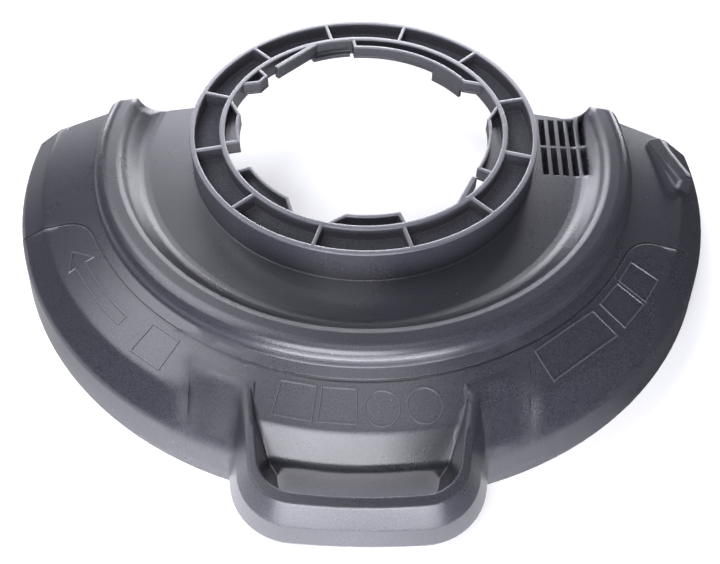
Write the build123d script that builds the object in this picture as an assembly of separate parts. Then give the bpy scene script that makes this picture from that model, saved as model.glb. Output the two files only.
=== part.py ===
from build123d import *
import os
from math import acos, cos, degrees, radians, sin, tan

# Trimmer guard, one moulding in grass-trimmer plastic.
# The origin is on the collar's axis in the plane of its rim, +Z points up and the
# front loop points to -Y. Radii are from the axis, depths are below the rim (mm).

# Collar: an open-topped ring channel, stiffened by radial ribs
collar_r = 75.0  # outside of the outer wall
collar_wall = 2.2
socket_r = 60.0  # inside of the inner wall
channel_depth = 6.2  # rim to channel floor
channel_floor = 1.6
rib_count = 12
rib_wall = 1.5

# Bayonet lugs, latch fingers and ledge inside the socket
lug_r = 54.0  # bore that the lugs leave for the motor head
lug_wall = 1.4
lug_depth = 6.0
lug_floor = 1.2
stop_depth = 10.5  # stop tab that runs down from the long lug's face
finger_wall = 2.2
bore_clear = 0.4  # fingers stand outside the lugs' bore
ledge_width = 2.4
ledge_height = 1.8

# Their places round the socket, in degrees from +X: a lug's foot, tip, tip and foot,
# a finger's root and tip, and the two ends of the stop tab and of the ledge
lug_angles = [
    (-104, -97, -74, -73.5),
    (-150, -149.5, -123.5, -116),
    (165.5, 175, 194, 194),
    (142.5, 144.5, 150.5, 156),
    (27, 33.5, 95.5, 96),
    (-29.5, -29.5, 5, 14),
]
finger_angles = [(113, 137), (-50, -34.5)]
stop_angles = (36, 54)
ledge_angles = (97, 115)

# Shell section, from the collar outwards
shell_wall = 2.4
deck_depth = 15.5
cove_r = 11.1  # hollow between deck and crest
crest_r = 104.9
crest_depth = 6.5
ridge_top = 5.9  # level width of the ridge
ridge_drop = 6.6  # quarter round from the ridge down to the flat
flat_width = 22.7
flat_drop = 6.7
chamfer_width = 10.9
chamfer_drop = 7.7
skirt_flare = 2.5
skirt_height = 18.8
skirt_round = 5.0

# Rear edges of the fan, one each side
rear_apex = 42.6  # where the two edges would meet, behind the axis
rear_sweep = 11.3  # degrees forwards of straight across

# Scooped shoulders beside the front loop
shoulder_lap = 3.4  # starts inside the arm's outer edge
shoulder_width = 24.0
shoulder_shelf = 3.3  # level strip before the slope
shoulder_round = 3.0

# Front loop: level top, sloped sides, hollow underneath
loop_depth = 16.0
loop_stand = 16.5  # the top face's front stands out from the skirt's rim
loop_half = 35.4  # half width of the top face at the bar's ends
loop_corner = 17.0
loop_splay = 0.161  # arms spread towards the shell, per mm
loop_bow = 3.0  # bar bulges forwards in the middle
arm_face = 2.4  # width of the level top face
bar_face = 4.0
slope_height = 8.0
slope_front = 4.4
slope_side = 3.9
wall_height = 11.4
wall_front = 0.7
wall_side = 3.2
window_corner = 14.0
window_draft = 0.30  # inner sides, per mm of depth
window_draft_bar = 0.10
core_depth = 21.0  # rim to the roof of the loop's hollow

# Seam groove round the front panel
seam_inset = 4.6  # out from the ridge's foot
seam_left = 46.5  # where it runs out, ahead of the axis
seam_right = 51.5
seam_corner = 16.0
seam_width = 0.9
seam_depth = 0.5

# Blind slots in the deck, with the block under it that holds them
slot_columns = 5
slot_rows = 2
slot_width = 2.7
slot_length = 17.6
slot_depth = 9.0
slot_rib = 1.7  # between the columns
slot_bar = 1.3  # between the rows
slot_wall = 1.4  # round the outside and underneath
slot_inset = 14.8  # collar's wall to the middle of the slots
slot_y = 4.2
slot_turn = -3.0

# Line cutter's housing on the right of the flat
cutter_inset = 3.7  # in from the flat's outer edge
cutter_y = -2.0
cutter_depth = 15.3
cutter_length = 27.0
cutter_width = 6.3
cutter_corner = 1.0
cutter_turn = 19.5
cutter_draft = 14.0

# Sizes that follow from the ones above
foot_r = crest_r + ridge_top + ridge_drop
foot_depth = crest_depth + ridge_drop
flat_r = foot_r + flat_width
flat_depth = foot_depth + flat_drop
chamfer_r = flat_r + chamfer_width
chamfer_depth = flat_depth + chamfer_drop
skirt_r = chamfer_r + skirt_flare
height = chamfer_depth + skirt_height
loop_reach = skirt_r + loop_stand
loop_root = crest_r + ridge_top / 2
shelf_r = foot_r + (loop_depth - foot_depth) * flat_width / flat_drop
shoulder_r = shelf_r + shoulder_shelf
shoulder_in = loop_half + loop_splay * (loop_reach - loop_bow - shoulder_r) - shoulder_lap
shoulder_out = shoulder_in + shoulder_width
seam_r = foot_r + seam_inset
slot_x = collar_r + slot_inset
slots_wide = slot_columns * (slot_width + slot_rib) - slot_rib
slots_long = slot_rows * (slot_length + slot_bar) - slot_bar
cutter_x = flat_r - cutter_inset
over = 10.0  # how far cutting bodies pass the faces they cut
outside_chords = 6  # flats that follow each bend of the ridge, outside and inside
inside_chords = 2
span = 2 * (loop_reach + slope_front + wall_front + over)


def polar(radius, angle):
    return (radius * cos(radians(angle)), radius * sin(radians(angle)))


def slab(x_low, x_high, y_low, y_high, z_low, z_high):
    size = (x_high - x_low, y_high - y_low, z_high - z_low)
    middle = ((x_low + x_high) / 2, (y_low + y_high) / 2, (z_low + z_high) / 2)
    return Pos(*middle) * Box(*size)


def ring(r_in, r_out, depth_top, depth_bottom):
    band = Circle(r_out) - Circle(r_in)
    return Pos(0, 0, -depth_bottom) * extrude(band, depth_bottom - depth_top)


def turned(section):
    return revolve(Plane.XZ * section, Axis.Z)


def near(sketch, radius, depth):
    return sketch.vertices().sort_by_distance(Vector(radius, -depth, 0))[0]


# Evenly spaced points on a section's arc, angles in degrees from straight out
def arc_points(centre, radius, start, end, chords):
    step = (end - start) / chords
    return [centre + Vector(*polar(radius, start + step * i)) for i in range(chords + 1)]


# Region under the shell's outer surface, as radius across and height up.
# It runs past the skirt's rim and the collar's wall, to be trimmed later.
def under_shell(scooped, chords):
    cove_turn = degrees(acos(1 - (deck_depth - crest_depth) / cove_r))
    cove_start_r = crest_r - cove_r * sin(radians(cove_turn))
    cove_centre = Vector(cove_start_r, cove_r - deck_depth)
    ridge_centre = Vector(crest_r + ridge_top, -foot_depth)
    points = [Vector(socket_r, -height - over), Vector(socket_r, -deck_depth)]
    points += arc_points(cove_centre, cove_r, -90, cove_turn - 90, chords)
    points += arc_points(ridge_centre, ridge_drop, 90, 0, chords)
    if scooped:
        points += [Vector(shelf_r, -loop_depth), Vector(shoulder_r, -loop_depth)]
    else:
        points.append(Vector(flat_r, -flat_depth))
    points.append(Vector(chamfer_r, -chamfer_depth))
    points.append(Vector(skirt_r + over * skirt_flare / skirt_height, -height - over))
    return make_face(Polyline(*points, close=True))


# The same region with the outside face's finer bends and rounded edges
def under_skin(scooped):
    region = under_shell(scooped, outside_chords)
    region = fillet(near(region, chamfer_r, chamfer_depth), skirt_round)
    if scooped:
        region = fillet(near(region, shoulder_r, loop_depth), shoulder_round)
    return region


# Region some way under the shell's outer surface
def below_skin(scooped, amount):
    return offset(under_shell(scooped, inside_chords), -amount, kind=Kind.INTERSECTION)


# Full turn of the shell wall, from the collar to the skirt's rim
def shell_turn(scooped):
    r_in = collar_r - collar_wall
    keep = Pos((r_in + span) / 2, -height / 2) * Rectangle(span - r_in, height)
    return turned((under_skin(scooped) - below_skin(scooped, shell_wall)) & keep)


# Shell wall with the two scooped shoulders let in
def make_shell():
    sides = Part()
    for side in (-1, 1):
        across = sorted((side * shoulder_in, side * shoulder_out))
        sides += slab(*across, -span, -crest_r, -height - over, over)
    return (shell_turn(False) - sides) + (shell_turn(True) & sides)


# Fan's plan, cut off behind by the two swept rear edges
def fan_plan():
    rear = rear_apex - span * tan(radians(rear_sweep))
    corners = [(-span, rear), (0, rear_apex), (span, rear), (span, -span), (-span, -span)]
    outline = make_face(Polyline(*corners, close=True))
    return Pos(0, 0, -height - over) * extrude(outline, height + 2 * over)


# Outline of the loop or of its window: two splayed arms and a bowed bar
def loop_outline(half, reach, corner, root, depth):
    front_y = loop_bow - reach
    back_half = half - loop_splay * (front_y + root)
    sides = Polyline((half, front_y), (back_half, -root), (-back_half, -root), (-half, front_y))
    outline = sides + ThreePointArc((-half, front_y), (0, -reach), (half, front_y))
    face = make_face(outline)
    return Pos(0, 0, -depth) * fillet(face.vertices().sort_by(Axis.Y)[:2], corner)


# Outer body of the loop: top face, slope and wall, optionally drawn in by a wall
def loop_body(draw_in):
    half = loop_half - draw_in
    reach = loop_reach - draw_in
    corner = loop_corner - draw_in
    top = loop_outline(half, reach, corner, loop_root, loop_depth)
    half += slope_side
    reach += slope_front
    corner += slope_front
    knee_depth = loop_depth + slope_height
    knee = loop_outline(half, reach, corner, loop_root, knee_depth)
    half += wall_side
    reach += wall_front
    corner += wall_side
    foot = loop_outline(half, reach, corner, loop_root, knee_depth + wall_height)
    return loft([top, knee], ruled=True) + loft([knee, foot], ruled=True)


# Window between the arms, optionally let out by a wall
def window_body(let_out):
    root = loop_root - over
    sections = []
    for depth in (loop_depth - over, height + over):
        below = depth - loop_depth
        half = loop_half - arm_face - window_draft * below + let_out
        reach = loop_reach - bar_face - window_draft_bar * below + let_out
        sections.append(loop_outline(half, reach, window_corner + let_out, root, depth))
    return loft(sections, ruled=True)


def make_loop():
    dish = turned(below_skin(False, shell_wall / 2))
    return loop_body(0) - window_body(0) - dish


# Hollow under the loop, left by the mould's core
def loop_core():
    below = slab(-span, span, -span, 0, -height - over, -core_depth)
    return (loop_body(shell_wall) - window_body(shell_wall)) & below


# Plate of a lug on the socket's wall, given by its foot and tip angles.
# The foot starts inside the wall.
def make_lug(foot_start, tip_start, tip_end, foot_end):
    root_r = socket_r + collar_wall / 2
    first_foot = polar(root_r, foot_start)
    first_tip = polar(lug_r, tip_start)
    last_tip = polar(lug_r, tip_end)
    last_foot = polar(root_r, foot_end)
    sides = (
        Line(first_foot, first_tip)
        + ThreePointArc(first_tip, polar(lug_r, (tip_start + tip_end) / 2), last_tip)
        + Line(last_tip, last_foot)
    )
    root = ThreePointArc(last_foot, polar(root_r, (foot_start + foot_end) / 2), first_foot)
    face = make_face(sides + root)
    return Pos(0, 0, -lug_depth) * extrude(face, lug_floor)


# Springy latch finger: a straight bar that leaves the wall and ends short of the bore
def make_finger(root_angle, tip_angle):
    root = polar(socket_r + collar_wall / 4, root_angle)
    tip = polar(lug_r + bore_clear + finger_wall / 2, tip_angle)
    bar = trace(Line(root, tip), finger_wall)
    return Pos(0, 0, -lug_depth) * extrude(bar, lug_depth)


# Piece of a ring between two angles
def arc_bar(r_in, r_out, start, end, depth_top, depth_bottom):
    middle = (start + end) / 2
    outline = (
        ThreePointArc(polar(r_in, start), polar(r_in, middle), polar(r_in, end))
        + Line(polar(r_in, end), polar(r_out, end))
        + ThreePointArc(polar(r_out, end), polar(r_out, middle), polar(r_out, start))
        + Line(polar(r_out, start), polar(r_in, start))
    )
    return Pos(0, 0, -depth_bottom) * extrude(make_face(outline), depth_bottom - depth_top)


def make_collar():
    inner_r = socket_r + collar_wall
    outer_r = collar_r - collar_wall
    collar = ring(outer_r, collar_r, 0, deck_depth)
    collar += ring(socket_r, inner_r, 0, channel_depth + channel_floor)
    collar += ring(socket_r, collar_r, channel_depth, channel_depth + channel_floor)
    reach = outer_r - inner_r + collar_wall
    rib_box = Box(reach, rib_wall, channel_depth)
    rib = Pos((inner_r + outer_r) / 2, 0, -channel_depth / 2) * rib_box
    step = 360 / rib_count
    for index in range(rib_count):
        collar += Rot(0, 0, step * (index + 0.5)) * rib
    return collar


def make_bayonet():
    lugs = Part()
    for angles in lug_angles:
        lugs += make_lug(*angles)
    for angles in finger_angles:
        lugs += make_finger(*angles)
    lugs += arc_bar(lug_r, lug_r + lug_wall, *stop_angles, 0, stop_depth)
    ledge_base = channel_depth + channel_floor
    ledge_r = socket_r - ledge_width
    inner_r = socket_r + collar_wall
    lugs += arc_bar(ledge_r, inner_r, *ledge_angles, ledge_base - ledge_height, ledge_base)
    return lugs


# Band along the front panel's edge, one groove wide, cut into the shell's skin
def seam_groove():
    outside = Pos(0, -span / 2) * Rectangle(span, span)
    edge = Polyline((-span, -seam_left), (-span, span), (span, span), (span, -seam_right),
                    (0, -seam_right), (0, -seam_left), close=True)
    panel = outside - make_face(edge) - Circle(seam_r)
    corners = panel.vertices().sort_by_distance(Vector(0, 0, 0))[:2]
    panel = fillet(corners, seam_corner)
    band = offset(panel, seam_width / 2) - offset(panel, -seam_width / 2)
    wall = Pos(0, 0, -height - over) * extrude(band, height + over)
    skin = turned(under_skin(False) - below_skin(False, seam_depth))
    return wall & skin


# Something set square to the slots, in the plane of the deck
def at_slots(body):
    return Pos(slot_x, slot_y, -deck_depth) * Rot(0, 0, slot_turn) * body


# Block under the deck, cut off level with the middle of the shell's wall
def slot_block():
    wide = slots_wide + 2 * slot_wall
    long = slots_long + 2 * slot_wall
    block = extrude(Rectangle(wide, long), -slot_depth - slot_wall)
    block += extrude(Rectangle(wide, long), over)
    return at_slots(block) & turned(below_skin(False, shell_wall / 2)) & fan_plan()


def blind_slots():
    slot = Pos(0, 0, (over - slot_depth) / 2) * Box(slot_width, slot_length, over + slot_depth)
    slots = Part()
    for column in range(slot_columns):
        for row in range(slot_rows):
            across = (slot_width + slot_rib) * (column - (slot_columns - 1) / 2)
            along = (slot_length + slot_bar) * (row - (slot_rows - 1) / 2)
            slots += Pos(across, along) * slot
    return at_slots(slots)


# Raised housing with a level top and drafted sides, upright towards the skirt,
# rooted in the shell
def cutter_housing():
    top = Pos(over / 2, 0) * RectangleRounded(cutter_width + over, cutter_length, cutter_corner)
    body = extrude(top, -skirt_height, taper=-cutter_draft)
    body &= slab(-span, cutter_width / 2, -span, span, -span, span)
    body = Pos(cutter_x, cutter_y, -cutter_depth) * Rot(0, 0, cutter_turn) * body
    dish = turned(below_skin(False, shell_wall / 2))
    return body - dish


guard = make_shell() & fan_plan()
guard += make_loop()
guard -= loop_core()
guard += cutter_housing() & fan_plan()
guard -= seam_groove()
guard += slot_block()
guard -= blind_slots()
guard += make_collar()
guard += make_bayonet()

os.makedirs("parts", exist_ok=True)
export_step(guard, "parts/guard.step")
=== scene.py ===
import math

import bpy
import numpy as np
from mathutils import Matrix, Vector


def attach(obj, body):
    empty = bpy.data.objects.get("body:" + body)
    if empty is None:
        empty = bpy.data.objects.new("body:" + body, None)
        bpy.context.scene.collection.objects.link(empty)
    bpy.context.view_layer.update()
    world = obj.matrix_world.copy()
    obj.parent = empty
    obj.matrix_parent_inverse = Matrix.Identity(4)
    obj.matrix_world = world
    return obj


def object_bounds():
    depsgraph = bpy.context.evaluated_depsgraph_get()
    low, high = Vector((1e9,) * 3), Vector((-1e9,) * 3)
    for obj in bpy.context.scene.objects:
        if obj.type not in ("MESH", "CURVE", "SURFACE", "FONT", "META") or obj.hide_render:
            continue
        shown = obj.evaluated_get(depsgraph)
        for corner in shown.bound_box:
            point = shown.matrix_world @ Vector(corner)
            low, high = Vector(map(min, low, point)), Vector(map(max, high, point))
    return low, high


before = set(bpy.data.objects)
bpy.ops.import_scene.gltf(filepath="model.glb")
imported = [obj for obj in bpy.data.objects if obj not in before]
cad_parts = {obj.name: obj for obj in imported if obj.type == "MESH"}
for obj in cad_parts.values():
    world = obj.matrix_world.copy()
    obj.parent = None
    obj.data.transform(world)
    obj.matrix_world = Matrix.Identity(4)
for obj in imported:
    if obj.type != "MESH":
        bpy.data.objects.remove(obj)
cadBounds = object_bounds()
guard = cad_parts["guard"]
print("guard loaded", [round(v, 4) for corner in cadBounds for v in corner])

scene = bpy.context.scene
scene.view_settings.view_transform = "Standard"

# the flat of the shell is a shallow cone: height falls evenly with distance from the collar's axis
flatCone = {"footR": 0.1174, "footZ": -0.0131, "fall": 6.7 / 22.7}


def flatHeight(xy):
    return flatCone["footZ"] - flatCone["fall"] * (np.hypot(xy[:, 0], xy[:, 1]) - flatCone["footR"])


def polarPath(points):
    p = np.asarray(points, float)  # rows of radius in mm, angle in degrees
    a = np.radians(p[:, 1])
    return np.column_stack([np.cos(a), np.sin(a)]) * p[:, :1] * 0.001


# a path is refilled at an even step, keeping its corners: positions along its length, corners added, sorted
def refill(path, step):
    loop = np.vstack([path, path[:1]])
    runs = np.hypot(*np.diff(loop, axis=0).T)
    at = np.concatenate([[0.0], np.cumsum(runs)])
    along = np.union1d(at[:-1], np.arange(0.0, at[-1], step))
    keep = np.append(np.diff(along) > step * 0.2, True) | np.isin(along, at)
    along = along[keep]
    return np.column_stack([np.interp(along, at, loop[:, k]) for k in (0, 1)])


mitreLimit = 0.4  # a sharp corner's mitre grows no longer than this share allows


# raised line: a low trapezoid carried round a closed path, mitred at each point, standing on the flat
def raisedLine(path, line):
    ahead = np.roll(path, -1, axis=0) - path
    ahead /= np.linalg.norm(ahead, axis=1, keepdims=True)
    behind = np.roll(ahead, 1, axis=0)
    side = np.column_stack([-(ahead + behind)[:, 1], (ahead + behind)[:, 0]])
    side /= np.linalg.norm(side, axis=1, keepdims=True)
    normal = np.column_stack([-ahead[:, 1], ahead[:, 0]])
    mitre = side / np.maximum((side * normal).sum(1, keepdims=True), mitreLimit)
    widths = np.array([line["foot"], line["crown"], line["crown"], line["foot"]])
    across = np.array([-0.5, -0.5, 0.5, 0.5]) * widths
    lift = np.array([-line["sink"], line["rise"], line["rise"], -line["sink"]])
    xy = path[:, None, :] + mitre[:, None, :] * across[None, :, None]
    z = flatHeight(xy.reshape(-1, 2)).reshape(len(path), 4) + lift
    verts = np.concatenate([xy, z[..., None]], axis=2).reshape(-1, 3)
    i = np.arange(len(path))[:, None] * 4
    j = np.roll(i, -1, axis=0)
    k = np.arange(4)[None, :]
    m = (k + 1) % 4
    quads = np.stack([i + k, i + m, j + m, j + k], axis=2).reshape(-1, 4)
    return verts, quads


def pieceFrom(name, parts):
    starts = np.cumsum([0] + [len(v) for v, _ in parts[:-1]])
    verts = np.vstack([v for v, _ in parts])
    quads = np.vstack([q + s for (_, q), s in zip(parts, starts)])
    mesh = bpy.data.meshes.new(name)
    mesh.from_pydata(verts.tolist(), [], quads.tolist())
    mesh.validate()
    piece = bpy.data.objects.new(name, mesh)
    scene.collection.objects.link(piece)
    return piece


# blank sign fields along the front of the flat: squares, one long field and two rings
signFields = {
    "bandR": (125.2, 137.5),
    "squares": [(-103.1, -97.1), (-96.2, -90.5), (-128.5, -122.5), (-42.6, -36.5), (-35.8, -30.3)],
    "longField": [(-59.0, -44.8)],
    "rings": [(7.9, -131.8), (23.1, -130.2)],
    "ringR": 6.3,
    "ringPoints": 72,
    "step": 0.0008,
    "line": {"foot": 0.0009, "crown": 0.0004, "rise": 0.0004, "sink": 0.0004},
}

lineParts = []
inR, outR = signFields["bandR"]
for a, b in signFields["squares"] + signFields["longField"]:
    shape = polarPath([(inR, a), (outR, a), (outR, b), (inR, b)])
    lineParts.append(raisedLine(refill(shape, signFields["step"]), signFields["line"]))
turn = np.linspace(0, 2 * math.pi, signFields["ringPoints"], endpoint=False)
ring = signFields["ringR"] * np.column_stack([np.cos(turn), np.sin(turn)])
for middle in signFields["rings"]:
    lineParts.append(raisedLine((np.array(middle) + ring) * 0.001, signFields["line"]))
signFrames = pieceFrom("sign_frames", lineParts)
print("sign frames", len(signFrames.data.polygons), "faces")

# turning arrow: two arcs and a head, drawn as one raised outline
turnArrow = {
    "shaftR": (129.3, 133.4),
    "headR": (125.7, 136.2),
    "tail": -133.6,
    "neck": -148.6,
    "tip": (131.9, -152.3),
    "shaftPoints": 30,
    "step": 0.0012,
    "line": {"foot": 0.0009, "crown": 0.0004, "rise": 0.0004, "sink": 0.0004},
}

sweep = np.linspace(turnArrow["tail"], turnArrow["neck"], turnArrow["shaftPoints"])
lowShaft, highShaft = (np.column_stack([np.full(len(sweep), r), sweep]) for r in turnArrow["shaftR"])
lowHead, highHead = ((r, turnArrow["neck"]) for r in turnArrow["headR"])
arrowPath = polarPath(np.vstack([lowShaft, [lowHead, turnArrow["tip"], highHead], highShaft[::-1]]))
arrow = pieceFrom("turn_arrow", [raisedLine(refill(arrowPath, turnArrow["step"]), turnArrow["line"])])
print("turn arrow", len(arrow.data.polygons), "faces")

# walls round the lugs' pockets: radii in mm, a lug's foot, tip, tip and foot in degrees
lugWalls = {
    "foot": 61.1,
    "bore": 54.03,
    "thick": 0.0014,
    "base": -0.00481,
    "top": -0.00003,
    "step": 2.0,
    "angles": [
        (-104, -97, -74, -73.5),
        (-150, -149.5, -123.5, -116),
        (165.5, 175, 194, 194),
        (142.5, 144.5, 150.5, 156),
        (27, 33.5, 95.5, 96),
        (-29.5, -29.5, 5, 14),
    ],
}


# upright band: a box section carried along an open path, its thickness to the right, mitred at corners
def uprightBand(path, thick, base, top):
    ahead = np.diff(path, axis=0)
    ahead /= np.linalg.norm(ahead, axis=1, keepdims=True)
    normal = np.column_stack([ahead[:, 1], -ahead[:, 0]])
    after = np.vstack([normal, normal[-1:]])
    side = np.vstack([normal[:1], normal]) + after
    side /= np.linalg.norm(side, axis=1, keepdims=True)
    inner = path + side * thick / np.maximum((side * after).sum(1, keepdims=True), mitreLimit)
    corners = ((path, base), (path, top), (inner, top), (inner, base))
    sides = [np.column_stack([xy, np.full(len(xy), z)]) for xy, z in corners]
    verts = np.stack(sides, axis=1).reshape(-1, 3)
    i = np.arange(len(path) - 1)[:, None] * 4
    k = np.arange(4)[None, :]
    m = (k + 1) % 4
    quads = np.stack([i + k, i + m, i + 4 + m, i + 4 + k], axis=2).reshape(-1, 4)
    end = (len(path) - 1) * 4
    caps = np.array([[3, 2, 1, 0], [end, end + 1, end + 2, end + 3]])
    return verts, np.vstack([quads, caps])


wallParts = []
for footStart, tipStart, tipEnd, footEnd in lugWalls["angles"]:
    tips = np.linspace(tipStart, tipEnd, int((tipEnd - tipStart) / lugWalls["step"]) + 2)
    feet = [(lugWalls["foot"], footStart), (lugWalls["foot"], footEnd)]
    lugPath = polarPath([feet[0], *((lugWalls["bore"], a) for a in tips), feet[1]])
    wallParts.append(uprightBand(lugPath, lugWalls["thick"], lugWalls["base"], lugWalls["top"]))
lugBands = pieceFrom("lug_walls", wallParts)
print("lug walls", len(lugBands.data.polygons), "faces")


def newGroup(name, inputs, outputs):
    group = bpy.data.node_groups.new(name, "ShaderNodeTree")
    for label, kind, value in inputs:
        socket = group.interface.new_socket(label, in_out="INPUT", socket_type=kind)
        if value is not None:
            socket.default_value = value
    for label, kind in outputs:
        group.interface.new_socket(label, in_out="OUTPUT", socket_type=kind)
    return group, group.nodes.new("NodeGroupInput"), group.nodes.new("NodeGroupOutput")


def addNode(tree, kind, **values):
    node = tree.nodes.new(kind)
    for key, value in values.items():
        if key in node.inputs:
            node.inputs[key].default_value = value
        else:
            setattr(node, key, value)
    return node


def mathNode(tree, operation, first, second=None):
    node = tree.nodes.new("ShaderNodeMath")
    node.operation = operation
    for slot, value in enumerate((first, second)):
        if value is None:
            continue
        if isinstance(value, (int, float)):
            node.inputs[slot].default_value = value
        else:
            tree.links.new(value, node.inputs[slot])
    return node.outputs[0]


# ramp: a value between the first two steps is carried to the last two, or to 0 and 1, and held beyond them
def rampNode(tree, value, steps, smooth=False):
    node = tree.nodes.new("ShaderNodeMapRange")
    node.interpolation_type = "SMOOTHSTEP" if smooth else "LINEAR"
    tree.links.new(value, node.inputs["Value"])
    for label, step in zip(("From Min", "From Max", "To Min", "To Max"), steps):
        node.inputs[label].default_value = step
    return node.outputs["Result"]


# spark-eroded grain: fine noise is the height and mottles the colour, a wide cloud breaks up the gloss
grainLook = {"mottle": (0.3, 0.7), "cloud": 38.0}


def grainGroup():
    group, gin, gout = newGroup(
        "sparkGrain",
        [("Place", "NodeSocketVector", None), ("Size", "NodeSocketFloat", 2600.0)],
        [("Height", "NodeSocketFloat"), ("Mottle", "NodeSocketFloat"), ("Cloud", "NodeSocketFloat")],
    )
    fine = addNode(group, "ShaderNodeTexNoise", Detail=1.0, Roughness=0.5)
    group.links.new(gin.outputs["Place"], fine.inputs["Vector"])
    group.links.new(gin.outputs["Size"], fine.inputs["Scale"])
    mottle = rampNode(group, fine.outputs["Fac"], grainLook["mottle"])
    cloud = addNode(group, "ShaderNodeTexNoise", Scale=grainLook["cloud"], Detail=4.0, Roughness=0.55)
    group.links.new(gin.outputs["Place"], cloud.inputs["Vector"])
    group.links.new(fine.outputs["Fac"], gout.inputs["Height"])
    group.links.new(mottle, gout.inputs["Mottle"])
    group.links.new(cloud.outputs["Fac"], gout.inputs["Cloud"])
    return group


# dust: sparse round specks, most cells left empty
dustSpeck = (0.045, 0.02)


def dustGroup():
    group, gin, gout = newGroup(
        "dustSpecks",
        [
            ("Place", "NodeSocketVector", None),
            ("Size", "NodeSocketFloat", 190.0),
            ("Share", "NodeSocketFloat", 0.2),
        ],
        [("Mask", "NodeSocketFloat")],
    )
    cells = addNode(group, "ShaderNodeTexVoronoi", feature="F1", Randomness=1.0)
    group.links.new(gin.outputs["Place"], cells.inputs["Vector"])
    group.links.new(gin.outputs["Size"], cells.inputs["Scale"])
    pick = addNode(group, "ShaderNodeSeparateColor")
    group.links.new(cells.outputs["Color"], pick.inputs["Color"])
    chosen = mathNode(group, "LESS_THAN", pick.outputs[0], gin.outputs["Share"])
    speck = rampNode(group, cells.outputs["Distance"], dustSpeck, smooth=True)
    group.links.new(mathNode(group, "MULTIPLY", speck, chosen), gout.inputs["Mask"])
    return group


# scuffs: long thin streaks of stretched noise, kept only at their peaks and in some patches
scuffLook = {"stretch": (55.0, 2600.0, 55.0), "soft": 0.05, "patchScale": 24.0, "patch": (0.5, 0.66)}


def scuffGroup():
    group, gin, gout = newGroup(
        "lightScuffs",
        [
            ("Place", "NodeSocketVector", None),
            ("Turn", "NodeSocketFloat", 0.6),
            ("Share", "NodeSocketFloat", 0.76),
        ],
        [("Mask", "NodeSocketFloat")],
    )
    spin = addNode(group, "ShaderNodeVectorRotate", rotation_type="Z_AXIS")
    group.links.new(gin.outputs["Place"], spin.inputs["Vector"])
    group.links.new(gin.outputs["Turn"], spin.inputs["Angle"])
    stretch = addNode(group, "ShaderNodeMapping")
    stretch.inputs["Scale"].default_value = scuffLook["stretch"]
    group.links.new(spin.outputs["Vector"], stretch.inputs["Vector"])
    streak = addNode(group, "ShaderNodeTexNoise", Scale=1.0, Detail=1.0)
    group.links.new(stretch.outputs["Vector"], streak.inputs["Vector"])
    patch = addNode(group, "ShaderNodeTexNoise", Scale=scuffLook["patchScale"], Detail=2.0)
    group.links.new(gin.outputs["Place"], patch.inputs["Vector"])
    line = addNode(group, "ShaderNodeMapRange", interpolation_type="SMOOTHSTEP")
    group.links.new(streak.outputs["Fac"], line.inputs["Value"])
    group.links.new(gin.outputs["Share"], line.inputs["From Min"])
    lineEnd = mathNode(group, "ADD", gin.outputs["Share"], scuffLook["soft"])
    group.links.new(lineEnd, line.inputs["From Max"])
    where = rampNode(group, patch.outputs["Fac"], scuffLook["patch"], smooth=True)
    group.links.new(mathNode(group, "MULTIPLY", line.outputs["Result"], where), gout.inputs["Mask"])
    return group


# moulded edge: a rounded normal, and how far it leaves the plain one is the worn edge, which is also
# painted lighter as a painted edge highlight
edgeLook = {"samples": 6, "wornAndHighlight": (0.99, 0.8)}


def edgeGroup():
    group, gin, gout = newGroup(
        "mouldedEdge",
        [("Radius", "NodeSocketFloat", 0.0003)],
        [("Normal", "NodeSocketVector"), ("WornAndHighlight", "NodeSocketFloat")],
    )
    rounded = addNode(group, "ShaderNodeBevel", samples=edgeLook["samples"])
    group.links.new(gin.outputs["Radius"], rounded.inputs["Radius"])
    plain = addNode(group, "ShaderNodeNewGeometry")
    facing = addNode(group, "ShaderNodeVectorMath", operation="DOT_PRODUCT")
    group.links.new(rounded.outputs["Normal"], facing.inputs[0])
    group.links.new(plain.outputs["Normal"], facing.inputs[1])
    wornAndHighlight = rampNode(group, facing.outputs["Value"], edgeLook["wornAndHighlight"], smooth=True)
    group.links.new(rounded.outputs["Normal"], gout.inputs["Normal"])
    group.links.new(wornAndHighlight, gout.inputs["WornAndHighlight"])
    return group


sparkGrain, dustSpecks, lightScuffs = grainGroup(), dustGroup(), scuffGroup()
mouldedEdge = edgeGroup()


def useGroup(tree, group, place=None, **values):
    node = tree.nodes.new("ShaderNodeGroup")
    node.node_tree = group
    if place is not None:
        tree.links.new(place, node.inputs["Place"])
    for key, value in values.items():
        node.inputs[key].default_value = value
    return node


def blendColor(tree, mask, low, high):
    node = tree.nodes.new("ShaderNodeMix")
    node.data_type = "RGBA"
    tree.links.new(mask, node.inputs["Factor"])
    for slot, value in ((6, low), (7, high)):
        if isinstance(value, tuple):
            node.inputs[slot].default_value = value
        else:
            tree.links.new(value, node.inputs[slot])
    return node.outputs[2]


# dark grey guard plastic with grain, a little gloss, dust and scuffs, and painted highlights on its edges
# and rim tops
guardPlastic = {
    "dark": (0.020, 0.020, 0.026, 1),
    "light": (0.058, 0.058, 0.072, 1),
    # worn colour: wear on the scuffs and edges, and on the edges also a painted highlight
    "wornAndHighlight": (0.10, 0.10, 0.118, 1),
    # painted highlight on the rim tops
    "rim": (0.13, 0.13, 0.15, 1),
    "dust": (0.62, 0.62, 0.63, 1),
    "gloss": (0.24, 0.32),
    "grainSize": 2000.0,
    "grainDepth": 0.00005,
    "edgeRound": 0.00022,
    "pocketGloss": 0.65,
    "bumpStrength": 0.5,
    "wornAndHighlightCover": 0.5,
    "scuffs": {"Turn": 0.6, "Share": 0.77},
    "scuffCover": 0.1,
    "specks": {"Size": 190.0, "Share": 0.16},
    "speckCover": 0.8,
    "ior": 1.58,
    "specular": 0.75,
}

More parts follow.
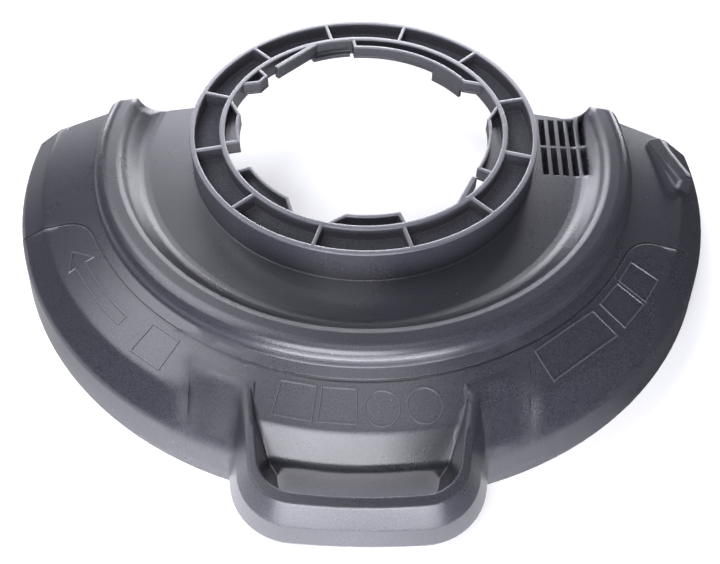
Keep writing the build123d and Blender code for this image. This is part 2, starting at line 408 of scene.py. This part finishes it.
# rounder places: radius, and bands by distance from the axis or by place across and ahead
roundings = {
    "bends": {"radius": 0.0013, "reach": (0.0925, 0.0945, 0.1172, 0.1186)},
    "loop": {
        "radius": 0.0011,
        "across": (-1.0, -0.9, 0.0455, 0.0495),
        "ahead": (0.119, 0.123, 0.9, 1.0),
    },
    "flat edge": {"radius": 0.0030, "reach": (0.1335, 0.1365, 0.1435, 0.1465)},
    "crest": {"radius": 0.0060, "reach": (0.0960, 0.0995, 0.1063, 0.1078)},
    "collar": {"radius": 0.0010, "reach": (0.050, 0.052, 0.076, 0.078)},
    "arm root": {
        "radius": 0.0065,
        "across": (0.0385, 0.0415, 0.052, 0.058),
        "ahead": (0.116, 0.121, 0.148, 0.158),
    },
    "scoop end": {
        "radius": 0.0080,
        "across": (0.0500, 0.0550, 0.0690, 0.0750),
        "ahead": (0.100, 0.106, 0.150, 0.156),
    },
    "shoulder": {
        "radius": 0.0034,
        "across": (0.0405, 0.0445, 0.082, 0.086),
        "ahead": (0.100, 0.106, 0.150, 0.156),
    },
}

# the pockets between the collar's ribs are duller than the rest, and the tops of the rims are painted
# lighter as a painted highlight
pockets = {"reach": (0.0615, 0.0621, 0.0729, 0.0735), "depth": (0.0004, 0.0012, 0.009, 0.010)}
rimDepth = (-1.0, -0.9, 0.0004, 0.0009)


# band: nought outside four steps, one between the middle two
def bandMask(tree, value, steps):
    rise, fall = rampNode(tree, value, steps[:2]), rampNode(tree, value, steps[:1:-1])
    return mathNode(tree, "MULTIPLY", rise, fall)


# zone: where all of its bands overlap
def zoneMask(tree, sides, zone):
    bands = [bandMask(tree, value, zone[side]) for side, value in sides.items() if side in zone]
    mask = bands[0]
    for band in bands[1:]:
        mask = mathNode(tree, "MULTIPLY", mask, band)
    return mask


# rounding at a place: the plain edge's radius, or the largest of the rounder places that hold it
def roundingGroup():
    group, gin, gout = newGroup(
        "edgeRounding",
        [("Place", "NodeSocketVector", None), ("Plain", "NodeSocketFloat", 0.0004)],
        [("Radius", "NodeSocketFloat"), ("Pocket", "NodeSocketFloat"), ("RimHighlight", "NodeSocketFloat")],
    )
    apart = addNode(group, "ShaderNodeSeparateXYZ")
    group.links.new(gin.outputs["Place"], apart.inputs["Vector"])
    x, y = apart.outputs["X"], apart.outputs["Y"]
    square = mathNode(group, "ADD", *(mathNode(group, "POWER", v, 2.0) for v in (x, y)))
    sides = {
        "reach": mathNode(group, "SQRT", square),
        "across": mathNode(group, "ABSOLUTE", x),
        "ahead": mathNode(group, "MULTIPLY", y, -1.0),
        "depth": mathNode(group, "MULTIPLY", apart.outputs["Z"], -1.0),
    }
    radius = gin.outputs["Plain"]
    for zone in roundings.values():
        size = mathNode(group, "MULTIPLY", zoneMask(group, sides, zone), zone["radius"])
        radius = mathNode(group, "MAXIMUM", radius, size)
    group.links.new(radius, gout.inputs["Radius"])
    group.links.new(zoneMask(group, sides, pockets), gout.inputs["Pocket"])
    # rim tops, where the painted highlight goes
    group.links.new(bandMask(group, sides["depth"], rimDepth), gout.inputs["RimHighlight"])
    return group


edgeRounding = roundingGroup()


def coverWith(tree, body, mask, share, color):
    return blendColor(tree, mathNode(tree, "MULTIPLY", mask, share), body, color)


def plasticMaterial(name, look, zoned):
    material = bpy.data.materials.new(name)
    material.use_nodes = True
    tree = material.node_tree
    shader = tree.nodes["Principled BSDF"]
    place = tree.nodes.new("ShaderNodeTexCoord").outputs["Object"]
    grain = useGroup(tree, sparkGrain, place, Size=look["grainSize"])
    dust = useGroup(tree, dustSpecks, place, **look["specks"])
    scuffs = useGroup(tree, lightScuffs, place, **look["scuffs"])
    edge = useGroup(tree, mouldedEdge, Radius=look["edgeRound"])
    body = blendColor(tree, grain.outputs["Mottle"], look["dark"], look["light"])
    # edges painted lighter: worn edge and painted edge highlight
    body = coverWith(tree, body, edge.outputs["WornAndHighlight"], look["wornAndHighlightCover"], look["wornAndHighlight"])
    body = coverWith(tree, body, scuffs.outputs["Mask"], look["scuffCover"], look["wornAndHighlight"])
    gloss = rampNode(tree, grain.outputs["Cloud"], (0.0, 1.0, *look["gloss"]))
    if zoned:
        rounding = useGroup(tree, edgeRounding, place, Plain=look["edgeRound"])
        tree.links.new(rounding.outputs["Radius"], edge.inputs["Radius"])
        # painted highlight: the rim tops take a lighter colour
        body = blendColor(tree, rounding.outputs["RimHighlight"], body, look["rim"])
        dull = mathNode(tree, "MULTIPLY", rounding.outputs["Pocket"], look["pocketGloss"])
        gloss = mathNode(tree, "ADD", gloss, dull)
    body = coverWith(tree, body, dust.outputs["Mask"], look["speckCover"], look["dust"])
    tree.links.new(body, shader.inputs["Base Color"])
    tree.links.new(gloss, shader.inputs["Roughness"])
    bump = addNode(tree, "ShaderNodeBump", Strength=look["bumpStrength"], Distance=look["grainDepth"])
    tree.links.new(grain.outputs["Height"], bump.inputs["Height"])
    tree.links.new(edge.outputs["Normal"], bump.inputs["Normal"])
    tree.links.new(bump.outputs["Normal"], shader.inputs["Normal"])
    shader.inputs["IOR"].default_value = look["ior"]
    shader.inputs["Specular IOR Level"].default_value = look["specular"]
    return material


guardMaterial = plasticMaterial("guard_plastic", guardPlastic, True)
# the raised lines are coloured a little lighter than the flat
linePlastic = {
    **guardPlastic,
    "dark": (0.050, 0.050, 0.060, 1),
    "light": (0.095, 0.095, 0.112, 1),
    "edgeRound": 0.0001,
}
lineMaterial = plasticMaterial("raised_line_plastic", linePlastic, False)
guard.data.materials.clear()
guard.data.materials.append(guardMaterial)
for piece, material in ((signFrames, lineMaterial), (arrow, lineMaterial), (lugBands, guardMaterial)):
    piece.data.materials.append(material)
    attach(piece, "root")
print("plastic on", len(guard.data.polygons), "faces")

# floor: white and matt, lifted for the camera only, most far from the guard, so the soft shadow stays
studioFloor = {
    "gap": 0.0002,
    "half": 4.0,
    "color": (0.9, 0.9, 0.9, 1),
    "roughness": 0.9,
    "lift": (0.25, 0.70, 0.22, 1.0),
}

floorZ = cadBounds[0][2] - studioFloor["gap"]
half = studioFloor["half"]
floorCorners = [(-half, -half, floorZ), (half, -half, floorZ), (half, half, floorZ), (-half, half, floorZ)]
floorMesh = bpy.data.meshes.new("floor")
floorMesh.from_pydata(floorCorners, [], [(0, 1, 2, 3)])
floor = bpy.data.objects.new("floor", floorMesh)
scene.collection.objects.link(floor)
paper = bpy.data.materials.new("floor_paper")
paper.use_nodes = True
tree = paper.node_tree
paperShader = tree.nodes["Principled BSDF"]
paperShader.inputs["Base Color"].default_value = studioFloor["color"]
paperShader.inputs["Roughness"].default_value = studioFloor["roughness"]
paperShader.inputs["Specular IOR Level"].default_value = 0.0
seen = tree.nodes.new("ShaderNodeLightPath")
glow = tree.nodes.new("ShaderNodeEmission")
place = addNode(tree, "ShaderNodeNewGeometry").outputs["Position"]
away = addNode(tree, "ShaderNodeVectorMath", operation="LENGTH")
tree.links.new(place, away.inputs[0])
lift = rampNode(tree, away.outputs["Value"], studioFloor["lift"])
seenLift = mathNode(tree, "MULTIPLY", seen.outputs["Is Camera Ray"], lift)
tree.links.new(seenLift, glow.inputs["Strength"])
both = tree.nodes.new("ShaderNodeAddShader")
tree.links.new(paperShader.outputs["BSDF"], both.inputs[0])
tree.links.new(glow.outputs["Emission"], both.inputs[1])

# lit patch of the paper ahead of the guard, which only the plastic's gloss sees: it fades to the sides,
# the paper on the left stays lighter than that on the right, and the loop shades what lies under it
litPatch = {
    "middle": (-0.03, -0.21),
    "stretch": 0.45,
    "fade": (0.03, 0.15, 2.3, 0.08),
    "slant": (-0.13, 0.03, 0.8, 0.08),
    "color": (0.93, 0.93, 1.0, 1),
    "shade": {"across": (-1.0, -0.9, 0.028, 0.036), "ahead": (0.0, 0.1, 0.158, 0.170)},
    "shadeLoss": 0.5,
}

fromMiddle = addNode(tree, "ShaderNodeVectorMath", operation="SUBTRACT")
tree.links.new(place, fromMiddle.inputs[0])
fromMiddle.inputs[1].default_value = (*litPatch["middle"], floorZ)
squeeze = addNode(tree, "ShaderNodeVectorMath", operation="MULTIPLY")
tree.links.new(fromMiddle.outputs["Vector"], squeeze.inputs[0])
squeeze.inputs[1].default_value = (1.0, litPatch["stretch"], 0.0)
far = addNode(tree, "ShaderNodeVectorMath", operation="LENGTH")
tree.links.new(squeeze.outputs["Vector"], far.inputs[0])
apart = addNode(tree, "ShaderNodeSeparateXYZ")
tree.links.new(place, apart.inputs["Vector"])
fade = rampNode(tree, far.outputs["Value"], litPatch["fade"])
slant = rampNode(tree, apart.outputs["X"], litPatch["slant"])
floorSides = {
    "across": mathNode(tree, "ABSOLUTE", apart.outputs["X"]),
    "ahead": mathNode(tree, "MULTIPLY", apart.outputs["Y"], -1.0),
}
loss = mathNode(tree, "MULTIPLY", zoneMask(tree, floorSides, litPatch["shade"]), litPatch["shadeLoss"])
strength = mathNode(tree, "MAXIMUM", fade, slant)
strength = mathNode(tree, "MULTIPLY", strength, mathNode(tree, "SUBTRACT", 1.0, loss))
patch = addNode(tree, "ShaderNodeEmission", Color=litPatch["color"])
tree.links.new(strength, patch.inputs["Strength"])
pick = tree.nodes.new("ShaderNodeMixShader")
tree.links.new(seen.outputs["Is Glossy Ray"], pick.inputs["Fac"])
tree.links.new(both.outputs["Shader"], pick.inputs[1])
tree.links.new(patch.outputs["Emission"], pick.inputs[2])
tree.links.new(pick.outputs["Shader"], tree.nodes["Material Output"].inputs["Surface"])
floorMesh.materials.append(paper)

# room: dim grey all round, white only where the camera looks past the floor
room = {"gray": 0.02}

world = bpy.data.worlds.new("room")
scene.world = world
world.use_nodes = True
tree = world.node_tree
air = tree.nodes["Background"]
seen = tree.nodes.new("ShaderNodeLightPath")
level = rampNode(tree, seen.outputs["Is Camera Ray"], (0.0, 1.0, room["gray"], 1.0))
tree.links.new(level, air.inputs["Strength"])
air.inputs["Color"].default_value = (1, 1, 1, 1)

# softboxes: azimuth from +X, elevation and distance about the guard's middle
softboxes = {
    "rear_panel": {"azimuth": 92, "elevation": 28, "distance": 1.0, "size": (0.75, 0.38), "watts": 5.6},
    "horizon": {"azimuth": 90, "elevation": 8, "distance": 1.0, "size": (2.0, 0.2), "watts": 15.0},
    "side_box": {"azimuth": 153, "elevation": 57, "distance": 1.1, "size": (0.85, 0.5), "watts": 5.0},
    "top_box": {"azimuth": -90, "elevation": 87, "distance": 1.2, "size": (0.5, 0.5), "watts": 1.5},
    "front_box": {"azimuth": -101, "elevation": 47, "distance": 1.1, "size": (0.7, 0.33), "watts": 7.0},
    "low_box": {"azimuth": -90, "elevation": 6.3, "distance": 0.5, "size": (0.6, 0.16), "watts": 3.8},
}
lampTint = (0.96, 0.96, 1.04)
aim = Vector((0, -0.05, -0.02))

for name, box in softboxes.items():
    a, e = math.radians(box["azimuth"]), math.radians(box["elevation"])
    away = Vector((math.cos(a) * math.cos(e), math.sin(a) * math.cos(e), math.sin(e)))
    lamp = bpy.data.lights.new(name, "AREA")
    lamp.shape = "RECTANGLE"
    lamp.size, lamp.size_y = box["size"]
    lamp.energy = box["watts"]
    lamp.color = lampTint
    holder = bpy.data.objects.new(name, lamp)
    holder.location = aim + away * box["distance"]
    holder.rotation_euler = (-away).to_track_quat("-Z", "Y").to_euler()
    scene.collection.objects.link(holder)
print("studio lit by", len(softboxes), "softboxes")

# camera: place and axes as found from the collar's circles and ribs, 44 mm lens
viewpoint = {
    "place": (-0.00176, -0.29296, 0.25254),
    "right": (0.9998, 0.0118, 0.0139),
    "up": (-0.0179, 0.7768, 0.6295),
    "lens": 44.0,
}

right = Vector(viewpoint["right"]).normalized()
back = right.cross(Vector(viewpoint["up"])).normalized()
up = back.cross(right)
pose = Matrix((right, up, back)).transposed().to_4x4()
pose.translation = Vector(viewpoint["place"])
lensData = bpy.data.cameras.new("camera")
lensData.sensor_fit = "HORIZONTAL"
lensData.sensor_width = 36.0
lensData.lens = viewpoint["lens"]
lensData.clip_start = 0.01
camera = bpy.data.objects.new("camera", lensData)
camera.matrix_world = pose
scene.collection.objects.link(camera)
scene.camera = camera
print("camera set")
